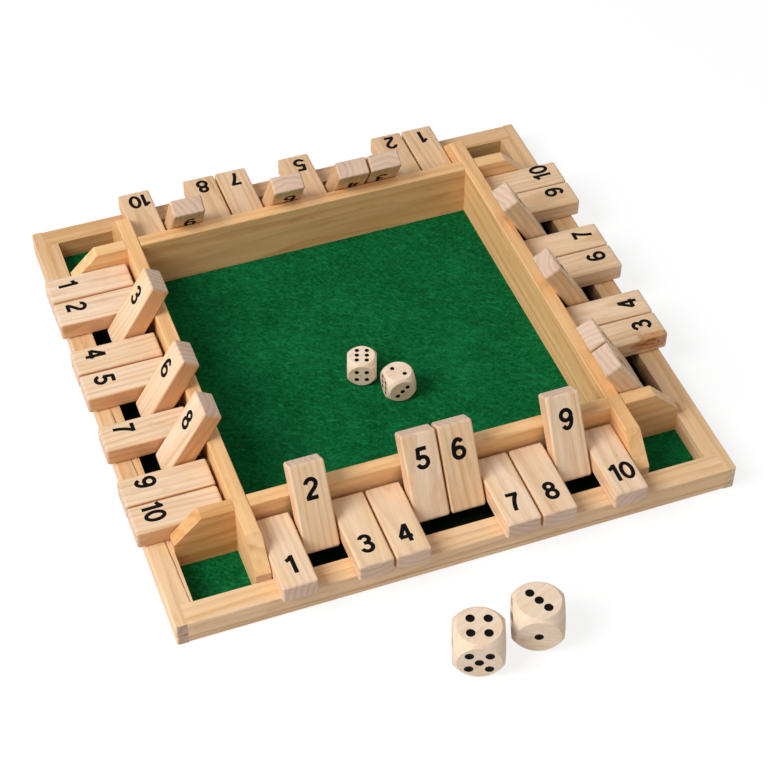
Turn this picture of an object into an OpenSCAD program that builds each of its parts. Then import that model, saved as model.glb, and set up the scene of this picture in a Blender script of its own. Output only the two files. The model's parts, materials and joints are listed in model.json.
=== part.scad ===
// Shut the box for four players: a low square frame with ten hinged number tiles on each side,
// round a felt-lined tray, and four dice.
// Origin at the centre of the underside. +X is the front player's right, +Y the rear, +Z up.

/* [Tiles] */
// Width of a tile
tile_w = 18.5; // [14:0.1:24]
// Thickness of a tile
tile_t = 10.5; // [8:0.5:13]
// Gap between neighbouring tiles
tile_gap = 1; // [0.6:0.1:2.5]
// Distance of the rod's axis from the inner end of a tile
rod_inset = 11; // [8:0.5:13]
// How far a flat tile reaches past the outside of the frame
tile_overhang = 4.2; // [0:0.1:8]
// Rounding of a tile's long edges
tile_edge = 0.9; // [0.4:0.1:2]
// Rounding of a tile's four corners, seen from above
tile_corner = 2; // [0.6:0.1:3]
// How far the bore lies above the middle of a tile's thickness
bore_rise = 1.2; // [0:0.1:1.2]

/* [Inner walls] */
// Thickness of the long walls, cross walls and dividers
wall_t = 8; // [7:0.5:12]
// Height of their tops above the table
wall_top = 34; // [28:0.5:42]
// Length of the slope at each end that meets a rail
slope_run = 15; // [8:0.5:18]
// Height of the blunt end of a slope above the rail
blunt_rise = 5; // [2:0.5:7]
// Rounding of the long top edges
wall_edge = 0.8; // [0.3:0.1:1.5]

/* [Frame and floor] */
// Inside width of a corner pocket, from an inner wall to the rail
pocket = 32; // [30:0.5:42]
// Width of a rail
rail_w = 12.5; // [10:0.5:18]
// Height of a rail
rail_h = 14; // [12:0.5:20]
// Rounding of the long outer edges of the rails
rail_edge = 0.8; // [0.3:0.1:2]
// Rounding of the frame's four upright corners
frame_corner = 1.5; // [0.5:0.1:3]
// Width of the side rail's end that shows beside the front rail
end_grain = 6; // [4:0.5:8]
// Thickness of the base panel
panel_t = 2; // [1.5:0.1:3]
// How far the base panel reaches under each rail
panel_lap = 4; // [2:0.5:5]
// Thickness of the felt
felt_t = 0.6; // [0.4:0.1:1.5]

/* [Hinge rods] */
// Diameter of a rod
rod_d = 3; // [2:0.1:4]
// Depth of the blind hole that holds each end of a rod
rod_seat = 5; // [3:0.5:6]
// Play of a tile's bore on its rod, on the diameter
bore_play = 0.15; // [0.1:0.01:0.18]
// Play of a rod in its blind holes, on the diameter and at each end
seat_play = 0.1; // [0.05:0.01:0.2]

/* [Clearances] */
// Between the inner wall and the corners of a swinging tile
swing_gap = 0.4; // [0.3:0.1:1]
// Under a flat tile, above the rail
rest_gap = 0.15; // [0.1:0.05:0.3]
// Between a raised tile and the top edge of the wall that it leans on
lean_gap = 0.25; // [0.15:0.05:0.4]
// Round the base panel, in its recess
panel_play = 0.2; // [0.1:0.05:0.4]

/* [Dice] */
// Side of the two dice in the tray
small_die = 16; // [12:0.5:20]
// Diameter of their pips
small_pip = 2.5; // [1.5:0.1:2.8]
// Distance of the pips of a four from each of a face's two middle lines
small_spread = 2.7; // [2.2:0.1:3.2]
// Side of the two large dice that stand in front
large_die = 25; // [20:0.5:30]
// Diameter of their pips
large_pip = 4.6; // [3:0.1:5]
// Distance of the pips of a four from each of a face's two middle lines
large_spread = 4.3; // [3.6:0.1:5]
// Clear floor between the frame and the large dice
dice_ahead = 38; // [20:1:80]

/* [Hidden] */
$fn = 32;
// A little past a surface, so that a cut leaves no skin
over = 0.5;

// Ten numbers a side, and the four sides with the turn that brings each from +X
count = 10;
SIDES = ["front", "right", "rear", "left"];
TURNS = [-90, 0, 90, 180];
// The numbers that stand raised on each side
RAISED = [[2, 5, 6, 9], [1, 2, 5, 8], [3, 4, 6, 9], [3, 6, 8]];

// Plan, measured from the centre to the faces of the walls and rails
pitch = tile_w + tile_gap;
tray = count * pitch / 2;
wall_out = tray + wall_t;
rail_in = wall_out + pocket;
frame = rail_in + rail_w;

// Heights
panel_top = panel_t;
floor_z = panel_t + felt_t;

// A tile turns about its rod: the reach of its lower inner corner keeps the rod off the wall
below_rod = tile_t / 2 + bore_rise;
corner_reach = norm([rod_inset - tile_edge, below_rod - tile_edge]) + tile_edge;
rod_at = wall_out + corner_reach + swing_gap;
rod_z = rail_h + rest_gap + below_rod;
tile_len = frame + tile_overhang - rod_at + rod_inset;

// A raised tile leans past upright until its face meets the rounded top edge of the wall
edge_back = rod_at - wall_out + wall_edge;
edge_up = wall_top - wall_edge - rod_z;
face_off = tile_t - below_rod + wall_edge + lean_gap;
lean = acos(face_off / norm([edge_back, edge_up])) - atan(edge_up / edge_back);
raised_turn = 90 + lean;

// Shape of a die: a cube rounded by a ball of this size against its half side
die_ball = 1.33;
// Radius of the round tool that sinks a pip, against the pip's diameter
pip_tool = 1;
// How much wider a five is spread than a four, and how much longer a six is
five_spread = 1.15;
six_spread = 1.35;
// Where the small dice lie in the tray, and each die's distance from there in sides of a die, and its turn
tray_dice_at = [1.6, -20.4];
tray_dice = [[-0.45, 0.56, -20], [0.45, -0.56, -3]];
// Each large die's distance from the middle line and past the clear floor, in sides of a die, and its turn
large_dice = [[-0.65, 0.22, -20], [0.65, 0.05, -20]];

TILE_NODES = [for (side = SIDES, number = [1:count]) str(side, "_tile_", number)];

// Rectangle from the origin with the given corners rounded: [near left, near right, far right, far left]
module eased(w, h, r, corners = [1, 1, 1, 1]) {
    places = [[r, r], [w - r, r], [w - r, h - r], [r, h - r]];
    translate([r, 0]) square([w - 2 * r, h]);
    translate([0, r]) square([w, h - 2 * r]);
    for (i = [0:3])
        translate(places[i])
            if (corners[i] == 1) circle(r);
            else square(2 * r, center = true);
}

module base_panel() {
    side = 2 * (rail_in + panel_lap - panel_play);
    color("burlywood")
        translate([-side / 2, -side / 2, 0]) cube([side, side, panel_t]);
}

module felt_lining() {
    color("darkgreen")
        translate([-rail_in, -rail_in, panel_top]) cube([2 * rail_in, 2 * rail_in, felt_t]);
}

// Bar along Y whose outer face is at +X, with its two outer long edges rounded
module rail_bar(length) {
    translate([frame, length / 2, 0]) rotate([90, 0, 0]) linear_extrude(length)
        translate([-rail_w, 0]) eased(rail_w, rail_h, rail_edge, [0, 1, 1, 0]);
}

module panel_recess() {
    side = 2 * (rail_in + panel_lap);
    translate([-side / 2, -side / 2, -over]) cube([side, side, panel_t + over]);
}

// Side rail, full depth, with an end rabbet at each end that takes the front or rear rail
module side_rail() {
    difference() {
        intersection() {
            rail_bar(2 * frame);
            translate([-frame, -frame, -over]) linear_extrude(rail_h + 2 * over)
                eased(2 * frame, 2 * frame, frame_corner);
        }
        for (end = [-1, 1])
            translate([frame - end_grain - rail_w, end > 0 ? rail_in : -frame - over, -over])
                cube([rail_w, rail_w + over, rail_h + 2 * over]);
        panel_recess();
    }
}

// Front or rear rail, between the end rabbets of the side rails
module cross_rail() {
    difference() {
        rail_bar(2 * (frame - end_grain));
        panel_recess();
    }
}

module left_rail() { color("burlywood") rotate([0, 0, 180]) side_rail(); }
module right_rail() { color("burlywood") side_rail(); }
module front_rail() { color("burlywood") rotate([0, 0, -90]) cross_rail(); }
module rear_rail() { color("burlywood") rotate([0, 0, 90]) cross_rail(); }

// Side view of a wall that stands on the felt from x = a to x = b, sloped down where it meets a rail
module wall_side(a, b, slope_a, slope_b) {
    blunt = rail_h + blunt_rise;
    polygon([
        [a, floor_z], [b, floor_z],
        [b, slope_b ? blunt : wall_top], [slope_b ? b - slope_run : b, wall_top],
        [slope_a ? a + slope_run : a, wall_top], [a, slope_a ? blunt : wall_top]
    ]);
}

// Wall along X with its faces at y = 0 and y = wall_t and its long top edges rounded
module wall_bar(a, b, slope_a, slope_b) {
    intersection() {
        translate([0, wall_t, 0]) rotate([90, 0, 0]) linear_extrude(wall_t)
            wall_side(a, b, slope_a, slope_b);
        translate([a - over, 0, 0]) rotate([90, 0, 90]) linear_extrude(b - a + 2 * over)
            eased(wall_t, wall_top, wall_edge, [0, 0, 1, 1]);
    }
}

// Blind hole along Y, opening at y = mouth towards the tiles, at the rod's place for one side
module rod_socket(turn, mouth) {
    rotate([0, 0, turn]) translate([rod_at, mouth, rod_z])
        rotate([mouth > 0 ? -90 : 90, 0, 0]) translate([0, 0, -over])
            cylinder(d = rod_d + seat_play, h = rod_seat + over);
}

// Wall from the front rail to the rear rail, on the side that turn brings from +X
module long_wall(turn) {
    difference() {
        rotate([0, 0, turn]) translate([wall_out, 0, 0]) rotate([0, 0, 90])
            wall_bar(-rail_in, rail_in, true, true);
        for (row = [0, 2], mouth = [-tray, tray]) rod_socket(TURNS[row], mouth);
    }
}

module right_long_wall() { color("wheat") long_wall(0); }
module left_long_wall() { color("wheat") long_wall(180); }

module cross_wall() { wall_bar(-tray, tray, false, false); }

module front_cross_wall() { color("wheat") translate([0, -wall_out, 0]) cross_wall(); }
module rear_cross_wall() { color("wheat") translate([0, tray, 0]) cross_wall(); }

// The two short walls of one player's end, from the long walls out to the side rails
module dividers() {
    difference() {
        for (hand = [0, 1])
            mirror([hand, 0, 0]) translate([0, -wall_out, 0]) wall_bar(wall_out, rail_in, false, true);
        for (row = [1, 3], mouth = [-tray, tray]) rod_socket(TURNS[row], mouth);
    }
}

module front_dividers() { color("wheat") dividers(); }
module rear_dividers() { color("wheat") rotate([0, 0, 180]) dividers(); }

// Rod that carries one side's row of tiles
module rod(side) {
    half = tray + rod_seat - seat_play;
    color("silver")
        rotate([0, 0, TURNS[side]]) translate([rod_at, half, rod_z]) rotate([90, 0, 0])
            cylinder(d = rod_d, h = 2 * half);
}

// Number tile lying flat: its rod's axis on the Y axis, its outer end towards +X
module tile_block() {
    difference() {
        translate([-rod_inset, 0, tile_t / 2 - below_rod]) intersection() {
            translate([0, -tile_w / 2, -tile_t / 2]) linear_extrude(tile_t)
                eased(tile_len, tile_w, tile_corner);
            translate([0, tile_w / 2, -tile_t / 2]) rotate([90, 0, 0]) linear_extrude(tile_w)
                eased(tile_len, tile_t, tile_edge);
            translate([0, -tile_w / 2, -tile_t / 2]) rotate([90, 0, 90]) linear_extrude(tile_len)
                eased(tile_w, tile_t, tile_edge);
        }
        rotate([90, 0, 0]) cylinder(d = rod_d + bore_play, h = tile_w + 2 * over, center = true);
    }
}

module tile(side, number) {
    raised = len(search(number, RAISED[side])) > 0;
    color("bisque")
        rotate([0, 0, TURNS[side]])
            translate([rod_at, (number - (count + 1) / 2) * pitch, rod_z])
                rotate([0, raised ? -raised_turn : 0, 0])
                    tile_block();
}

// Places of the pips of one face: one in the middle for odd values, and pairs across the middle.
// A six is two rows of three.
function pips(value, s) =
    value == 6 ? [for (x = [-six_spread * s, 0, six_spread * s], y = [-s, s]) [x, y]]
    : value == 5 ? concat([[0, 0]], pips(4, five_spread * s))
    : value == 4 ? concat(pips(2, s), [[-s, s], [s, -s]])
    : value == 3 ? concat([[0, 0]], pips(2, s))
    : value == 2 ? [[-s, -s], [s, s]]
    : [[0, 0]];

// Hollows of one face, which looks up at this height
module sunk_pips(value, height, pip, spread) {
    ball = pip_tool * pip;
    for (p = pips(value, spread))
        translate([p[0], p[1], height + sqrt(ball * ball - pip * pip / 4)]) sphere(r = ball);
}

// Die standing on z = 0. Opposite faces add up to seven.
module die(side, pip, spread, top, front, right) {
    faces = [[top, [0, 0, 90]], [7 - top, [180, 0, 90]],
             [front, [90, 0, 0]], [7 - front, [-90, 0, 0]],
             [right, [0, 90, 0]], [7 - right, [0, -90, 0]]];
    translate([0, 0, side / 2]) difference() {
        intersection() {
            cube(side, center = true);
            sphere(d = die_ball * side, $fn = 64);
        }
        for (face = faces) rotate(face[1]) sunk_pips(face[0], side / 2, pip, spread);
    }
}

module tray_die(place, top, front, right) {
    color("antiquewhite")
        translate([tray_dice_at[0] + place[0] * small_die, tray_dice_at[1] + place[1] * small_die, floor_z])
            rotate([0, 0, place[2]]) die(small_die, small_pip, small_spread, top, front, right);
}

module standing_die(place, top, front, right) {
    color("antiquewhite")
        translate([place[0] * large_die, -frame - dice_ahead - (place[1] + 0.5) * large_die, 0])
            rotate([0, 0, place[2]]) die(large_die, large_pip, large_spread, top, front, right);
}

base_panel();
felt_lining();
left_rail();
right_rail();
front_rail();
rear_rail();
left_long_wall();
right_long_wall();
front_cross_wall();
rear_cross_wall();
front_dividers();
rear_dividers();
for (side = [0:3])
    rod(side);
for (side = [0:3], number = [1:count])
    tile(side, number);
tray_die(tray_dice[0], 6, 4, 5);  // tray_die_left
tray_die(tray_dice[1], 2, 3, 1);  // tray_die_right
standing_die(large_dice[0], 4, 5, 6);  // large_die_left
standing_die(large_dice[1], 3, 1, 2);  // large_die_right
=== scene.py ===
"""Dresses the four-player shut the box game: pine boards and tiles, printed numbers, a felt floor and wooden dice."""

import json
import logging
import math
from dataclasses import dataclass, replace
from enum import Enum
from functools import cache
from typing import Sequence

import bpy
import numpy as np
from mathutils import Matrix, Vector
from mathutils.geometry import delaunay_2d_cdt


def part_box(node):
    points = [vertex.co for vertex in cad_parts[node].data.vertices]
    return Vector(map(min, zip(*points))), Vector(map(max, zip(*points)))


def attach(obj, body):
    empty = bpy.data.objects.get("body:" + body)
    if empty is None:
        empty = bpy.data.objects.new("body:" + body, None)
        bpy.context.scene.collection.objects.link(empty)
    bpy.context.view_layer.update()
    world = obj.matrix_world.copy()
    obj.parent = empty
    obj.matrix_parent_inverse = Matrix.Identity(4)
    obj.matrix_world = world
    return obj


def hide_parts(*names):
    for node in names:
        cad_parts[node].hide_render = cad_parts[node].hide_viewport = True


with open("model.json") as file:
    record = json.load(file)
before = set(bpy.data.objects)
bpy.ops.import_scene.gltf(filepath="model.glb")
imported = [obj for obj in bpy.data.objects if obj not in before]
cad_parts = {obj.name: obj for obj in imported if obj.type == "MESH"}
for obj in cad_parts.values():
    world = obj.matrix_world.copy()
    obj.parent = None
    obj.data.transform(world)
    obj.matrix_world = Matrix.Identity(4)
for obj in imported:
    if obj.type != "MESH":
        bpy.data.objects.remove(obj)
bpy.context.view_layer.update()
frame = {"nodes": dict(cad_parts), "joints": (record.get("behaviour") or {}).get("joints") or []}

MM = 0.001
SEED = 4110
LOG = logging.getLogger("shut_the_box")

Colour = tuple[float, float, float, float]
Place = tuple[float, float, float]
Value = object


class Lay(Enum):
    """Which way a board's fibres run, or whether the piece carries its own grain coordinates."""

    ALONG_X = "x"
    ALONG_Y = "y"
    OWN = "own"


class Face(Enum):
    """The six faces of a die, each with the turn in degrees about x, y and z that brings +Z to it."""

    TOP = (0, 0, 90)
    BOTTOM = (180, 0, 90)
    FRONT = (90, 0, 0)
    BACK = (-90, 0, 0)
    RIGHT = (0, 90, 0)
    LEFT = (0, -90, 0)


# ---------------------------------------------------------------------------------------------------------------
# Meshes


def outward(points: np.ndarray, faces: np.ndarray) -> np.ndarray:
    """Turns a closed surface's faces outwards.

    The sign of the volume, the sum of each triangle's triple product, tells which way they look.

    Args:
        points: (n, 3) corners.
        faces: (m, 3) or (m, 4) corner numbers.

    Returns:
        The faces, reversed where the volume came out negative.
    """
    a, b, c = (points[faces[:, i]] for i in range(3))
    volume = np.einsum("ij,ij->i", a, np.cross(b, c)).sum()
    if faces.shape[1] == 4:
        d = points[faces[:, 3]]
        volume += np.einsum("ij,ij->i", a, np.cross(c, d)).sum()
    return faces if volume > 0 else faces[:, ::-1]


def add_piece(name: str, points: np.ndarray, faces: np.ndarray, normals: np.ndarray | None = None) -> bpy.types.Object:
    """Makes an object at the origin from a closed surface.

    Args:
        name: The piece's name.
        points: (n, 3) corners in metres.
        faces: (m, 3) or (m, 4) corner numbers.
        normals: (n, 3) outward directions for smooth shading, or None for flat faces.

    Returns:
        The new object, linked to the scene.
    """
    mesh = bpy.data.meshes.new(name)
    mesh.from_pydata(points.tolist(), [], outward(points, faces).tolist())
    mesh.polygons.foreach_set("use_smooth", np.full(len(mesh.polygons), normals is not None))
    if normals is not None:
        mesh.normals_split_custom_set_from_vertices(normals.tolist())
    mesh.update()
    piece = bpy.data.objects.new(name, mesh)
    bpy.context.scene.collection.objects.link(piece)
    LOG.info("%s: %d points, %d faces", name, len(mesh.vertices), len(mesh.polygons))
    return piece


def add_attribute(piece: bpy.types.Object, name: str, values: np.ndarray) -> None:
    """Stores one number or one vector per point under a name that a material reads.

    Args:
        piece: The object.
        name: The attribute's name.
        values: (n,) numbers or (n, 3) vectors.
    """
    vector = values.ndim == 2
    attribute = piece.data.attributes.new(name, "FLOAT_VECTOR" if vector else "FLOAT", "POINT")
    attribute.data.foreach_set("vector" if vector else "value", values.astype(np.float32).ravel())


def ring_faces(rows: int, columns: int, closed_rows: bool = False) -> np.ndarray:
    """Quads between neighbouring rows of points, where every row is a closed ring.

    Args:
        rows: How many rings.
        columns: Points in a ring.
        closed_rows: Whether the last ring also joins the first.

    Returns:
        (m, 4) corner numbers.
    """
    i = np.arange(rows if closed_rows else rows - 1)[:, None]
    j = np.arange(columns)[None, :]
    below, after = (i + 1) % rows, (j + 1) % columns
    quads = np.stack(np.broadcast_arrays(i * columns + j, i * columns + after, below * columns + after,
                                         below * columns + j), axis=-1)
    return quads.reshape(-1, 4)


# ---------------------------------------------------------------------------------------------------------------
# Nodes


class NodeBench:
    """Adds and joins the nodes of one tree."""

    def __init__(self, tree: bpy.types.NodeTree) -> None:
        """Keeps the tree that the nodes go into."""
        self.tree = tree

    def feed(self, socket: bpy.types.NodeSocket, value: Value) -> None:
        """Joins an output to an input, or sets the input to a plain value.

        Args:
            socket: The input.
            value: Another node's output, or a number, vector or colour.
        """
        if isinstance(value, bpy.types.NodeSocket):
            self.tree.links.new(value, socket)
        else:
            socket.default_value = value

    def add(self, kind: str, fed: dict[str | int, Value] | None = None, **settings: Value) -> bpy.types.Node:
        """Adds a node, sets its options and then feeds its inputs.

        Args:
            kind: The node's type.
            fed: Values of inputs by name or number.
            settings: Values of options.

        Returns:
            The node.
        """
        node = self.tree.nodes.new(kind)
        for name, value in settings.items():
            setattr(node, name, value)
        for name, value in (fed or {}).items():
            self.feed(node.inputs[name], value)
        return node

    def math(self, operation: str, *values: Value) -> bpy.types.NodeSocket:
        """Works out one number from one, two or three others."""
        return self.add("ShaderNodeMath", dict(enumerate(values)), operation=operation).outputs[0]

    def weighted(self, start: float, *terms: tuple[Value, Value]) -> bpy.types.NodeSocket:
        """Adds value times weight for each term to a start value.

        Args:
            start: The start value.
            terms: Pairs of a value and its weight.

        Returns:
            The sum.
        """
        total: Value = start
        for value, weight in terms:
            total = self.math("MULTIPLY_ADD", value, weight, total)
        return total

    def blend(self, weights: Sequence[float], *values: Value) -> bpy.types.NodeSocket:
        """Adds each value times its weight to the start, which stands first among the weights."""
        return self.weighted(weights[0], *zip(values, weights[1:]))

    def vector(self, operation: str, *values: Value) -> bpy.types.NodeSocket:
        """Works out one vector, or its length, from others."""
        node = self.add("ShaderNodeVectorMath", dict(enumerate(values)), operation=operation)
        return node.outputs["Value" if operation in {"LENGTH", "DOT_PRODUCT"} else "Vector"]

    def noise(self, vector: Value, scale: Value, detail: float = 2.0, roughness: float = 0.5) -> bpy.types.NodeSocket:
        """A soft random pattern from 0 to 1, about 0.5 in the middle."""
        fed = {"Vector": vector, "Scale": scale, "Detail": detail, "Roughness": roughness}
        return self.add("ShaderNodeTexNoise", fed).outputs[0]

    def step(self, value: Value, low: Value, high: Value) -> bpy.types.NodeSocket:
        """Rises smoothly from 0 at low to 1 at high."""
        fed = {"Value": value, "From Min": low, "From Max": high}
        return self.add("ShaderNodeMapRange", fed, interpolation_type="SMOOTHSTEP").outputs["Result"]

    def mix(self, factor: Value, first: Value, second: Value) -> bpy.types.NodeSocket:
        """A colour between two others."""
        return self.add("ShaderNodeMix", {0: factor, 6: first, 7: second}, data_type="RGBA").outputs[2]

    def mapping(self, vector: Value, location: Place = (0, 0, 0), turn_deg: Place = (0, 0, 0)) -> bpy.types.NodeSocket:
        """Moves and turns a pattern's coordinates."""
        fed = {"Vector": vector, "Location": location, "Rotation": tuple(math.radians(t) for t in turn_deg)}
        return self.add("ShaderNodeMapping", fed).outputs["Vector"]

    def unit(self, value: Value) -> bpy.types.NodeSocket:
        """Keeps a number between 0 and 1."""
        return self.math("MINIMUM", self.math("MAXIMUM", value, 0.0), 1.0)

    def about_zero(self, pattern: Value) -> bpy.types.NodeSocket:
        """Shifts a pattern from 0 to 1 so that its middle is 0."""
        return self.math("SUBTRACT", pattern, 0.5)

    def tinted(self, share: Value, colour: Value, tint: Value) -> bpy.types.NodeSocket:
        """A colour, multiplied by a tint to the given share."""
        return self.mix(share, colour, self.vector("MULTIPLY", colour, tint))

    def place(self) -> bpy.types.NodeSocket:
        """Where the shaded point lies in the piece's own coordinates."""
        return self.add("ShaderNodeTexCoord").outputs["Object"]

    def attribute(self, name: str, output: str = "Fac") -> bpy.types.NodeSocket:
        """What add_attribute stored, as a number, or as a Vector."""
        return self.add("ShaderNodeAttribute", attribute_name=name).outputs[output]

    def parts(self, vector: Value) -> Sequence[bpy.types.NodeSocket]:
        """The three numbers of a vector."""
        return self.add("ShaderNodeSeparateXYZ", {0: vector}).outputs

    def joined(self, *numbers: Value) -> bpy.types.NodeSocket:
        """A vector from three numbers."""
        return self.add("ShaderNodeCombineXYZ", dict(enumerate(numbers))).outputs[0]

    def place_group(self, group: bpy.types.NodeTree, **values: Value) -> dict[str, bpy.types.NodeSocket]:
        """Places a node group, feeds its inputs by name, with _ for a space, and gives its outputs by name."""
        fed = {name.replace("_", " "): value for name, value in values.items()}
        return {socket.name: socket for socket in self.add("ShaderNodeGroup", fed, node_tree=group).outputs}


class EffectGroup:
    """A shader node group with named inputs and outputs, built once for several materials."""

    KINDS = {"value": "NodeSocketFloat", "colour": "NodeSocketColor", "vector": "NodeSocketVector"}

    def __init__(self, name: str, inputs: dict[str, str], outputs: dict[str, str]) -> None:
        """Opens an empty group.

        Args:
            name: The group's name.
            inputs: Kind of each named input: value, colour or vector.
            outputs: Kind of each named output.
        """
        self.tree = bpy.data.node_groups.new(name, "ShaderNodeTree")
        for direction, sockets in (("INPUT", inputs), ("OUTPUT", outputs)):
            for label, kind in sockets.items():
                self.tree.interface.new_socket(name=label, in_out=direction, socket_type=self.KINDS[kind])
        self.bench = NodeBench(self.tree)
        self.entry = self.bench.add("NodeGroupInput").outputs
        self.exit = self.bench.add("NodeGroupOutput").inputs

    def put_out(self, **values: Value) -> None:
        """Joins the results to the group's outputs."""
        for name, value in values.items():
            self.bench.feed(self.exit[name], value)


@dataclass(frozen=True)
class Layer:
    """A soft random pattern, drawn out along x by 1 / squeeze."""

    squeeze: float
    scale: float
    detail: float = 2.0
    roughness: float = 0.5

    def add(self, n: NodeBench, place: Value) -> bpy.types.NodeSocket:
        """Adds the layer's nodes at a place and gives its value from 0 to 1."""
        drawn_out = n.vector("MULTIPLY", place, (self.squeeze, 1, 1))
        return n.noise(drawn_out, self.scale, self.detail, self.roughness)


@dataclass(frozen=True)
class Stain:
    """Marks where a layer rises from low to high, tinted to the given share."""

    layer: Layer
    low: float
    high: float
    share: float
    tint: Place

    def add(self, n: NodeBench, place: Value, colour: Value) -> bpy.types.NodeSocket:
        """Adds the stain's nodes at a place and gives the stained colour."""
        mark = n.step(self.layer.add(n, place), self.low, self.high)
        return n.tinted(n.math("MULTIPLY", mark, self.share), colour, self.tint)


@dataclass(frozen=True)
class PineGrain:
    """Solid pine: growth rings round the x axis, long fibres, slow changes of tone and darker end grain.

    The weights start with a plain number. Those of a ring go on with its random strength, those of the end grain
    with rings, pores and patches, those of the height with fibres, streaks, rings and the end's pores, and those
    of the roughness with rings, fibres and the end.
    """

    waver: Layer = Layer(0.14, 55.0)
    fibre: Layer = Layer(0.02, 1500.0, 3.0, 0.65)
    streak: Layer = Layer(0.04, 330.0)
    patch: Layer = Layer(0.35, 38.0)
    pores: Layer = Layer(1.0, 2600.0, 2.0, 0.7)
    late_wood: tuple[float, float] = (0.3, 0.9)
    ring_edge: tuple[float, float] = (0.91, 1.0)
    yellow_bands: Stain = Stain(Layer(0.06, 120.0), 0.46, 0.72, 0.8, (1.0, 0.93, 0.80))
    resin_flecks: Stain = Stain(Layer(0.13, 560.0, 1.0), 0.74, 0.82, 0.5, (0.6, 0.42, 0.28))
    warm_blotches: Stain = Stain(Layer(0.3, 170.0, 3.0, 0.6), 0.56, 0.78, 0.75, (0.86, 0.72, 0.56))
    end_tint: Place = (0.62, 0.58, 0.55)
    least_depth: float = 0.22
    patch_depth: float = 0.35
    ring_weights: tuple[float, ...] = (0.3, 0.7)
    end_weights: tuple[float, ...] = (-0.2, 0.5, 0.7, 0.9)
    height_weights: tuple[float, ...] = (0.5, 0.8, 0.4, 0.25, 0.5)
    rough_weights: tuple[float, ...] = (0.44, -0.06, 0.25, 0.2)

    def group(self) -> bpy.types.NodeTree:
        """Builds the node group.

        The radius is the distance from the x axis, bent by a slow layer. Its fraction of the ring spacing rises
        slowly to the dark late wood and drops fast, and each ring has a strength of its own. Fibres and streaks
        are layers drawn out 25 to 50 times along x. The tone between light and dark is a weighted sum of these.

        Returns:
            The node group.
        """
        group = EffectGroup(
            "pine_grain",
            {"Vector": "vector", "Light": "colour", "Dark": "colour", "End Colour": "colour", "End": "value",
             "Ring Spacing": "value", "Ring Depth": "value", "Fibre Depth": "value", "Streak Depth": "value",
             "Tone": "value", "Wander": "value"},
            {"Color": "colour", "Height": "value", "Roughness": "value"})
        n, given = group.bench, group.entry
        p = given["Vector"]
        waver, fibre, streak, patch = (n.about_zero(layer.add(n, p))
                                       for layer in (self.waver, self.fibre, self.streak, self.patch))
        radius = n.vector("LENGTH", n.vector("MULTIPLY", p, (0, 1, 1)))
        rings = n.math("DIVIDE", n.weighted(0.0, (radius, 1.0), (waver, given["Wander"])), given["Ring Spacing"])
        phase = n.math("FRACT", rings)
        strength = n.add("ShaderNodeTexWhiteNoise", {"W": n.math("FLOOR", rings)}, noise_dimensions="1D")
        fall = n.math("SUBTRACT", 1.0, n.step(phase, *self.ring_edge))
        ring = n.math("MULTIPLY", n.math("MULTIPLY", n.step(phase, *self.late_wood), fall),
                      n.blend(self.ring_weights, strength.outputs["Value"]))
        depth = n.weighted(self.least_depth, (ring, given["Ring Depth"]), (fibre, given["Fibre Depth"]),
                           (streak, given["Streak Depth"]), (patch, self.patch_depth), (given["Tone"], 1.0))
        side = n.mix(n.unit(depth), given["Light"], given["Dark"])
        for stain in (self.yellow_bands, self.resin_flecks, self.warm_blotches):
            side = stain.add(n, p, side)
        pores = self.pores.add(n, p)
        end_shade = n.unit(n.blend(self.end_weights, ring, pores, patch))
        end = n.tinted(end_shade, given["End Colour"], self.end_tint)
        end_pores = n.math("MULTIPLY", pores, given["End"])
        group.put_out(Color=n.mix(given["End"], side, end),
                      Height=n.blend(self.height_weights, fibre, streak, ring, end_pores),
                      Roughness=n.blend(self.rough_weights, ring, fibre, given["End"]))
        return group.tree


@dataclass(frozen=True)
class FeltNap:
    """Pressed felt: thin fibres in four directions, small tufts and slow changes of tone.

    The weights start with a plain number and go on with the hairs, the tufts and, for the light, the drift.
    """

    hairs: tuple[tuple[float, Layer], ...] = tuple(
        (turn_deg, Layer(0.24, scale, 3.0, 0.65)) for turn_deg, scale in ((17, 560.0), (64, 700.0), (40, 620.0),
                                                                           (151, 760.0)))
    hair_edge: tuple[float, float] = (0.5, 0.82)
    tufts: Layer = Layer(1.0, 620.0, 3.0, 0.7)
    drift: Layer = Layer(1.0, 30.0, 3.0, 0.6)
    light_weights: tuple[float, ...] = (-0.62, 0.65, 1.05, 0.5)
    height_weights: tuple[float, ...] = (0.0, 0.6, 0.6)

    def group(self) -> bpy.types.NodeTree:
        """Builds the node group.

        Each direction's layer is drawn out four times along it and cut off above a level, which leaves separate
        short hairs. The lightness is the sum of the hairs, the tufts and the slow drift.

        Returns:
            The node group.
        """
        group = EffectGroup("felt_fibres", {"Vector": "vector", "Deep": "colour", "Hair": "colour"},
                            {"Color": "colour", "Height": "value"})
        n, given = group.bench, group.entry
        p = given["Vector"]
        hairs: Value = 0.0
        for turn_deg, layer in self.hairs:
            laid = n.mapping(p, turn_deg=(0, 0, turn_deg))
            hairs = n.math("MAXIMUM", hairs, n.step(layer.add(n, laid), *self.hair_edge))
        tufts, drift = self.tufts.add(n, p), self.drift.add(n, p)
        light = n.unit(n.blend(self.light_weights, hairs, tufts, drift))
        group.put_out(Color=n.mix(light, given["Deep"], given["Hair"]),
                      Height=n.blend(self.height_weights, hairs, tufts))
        return group.tree


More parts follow.
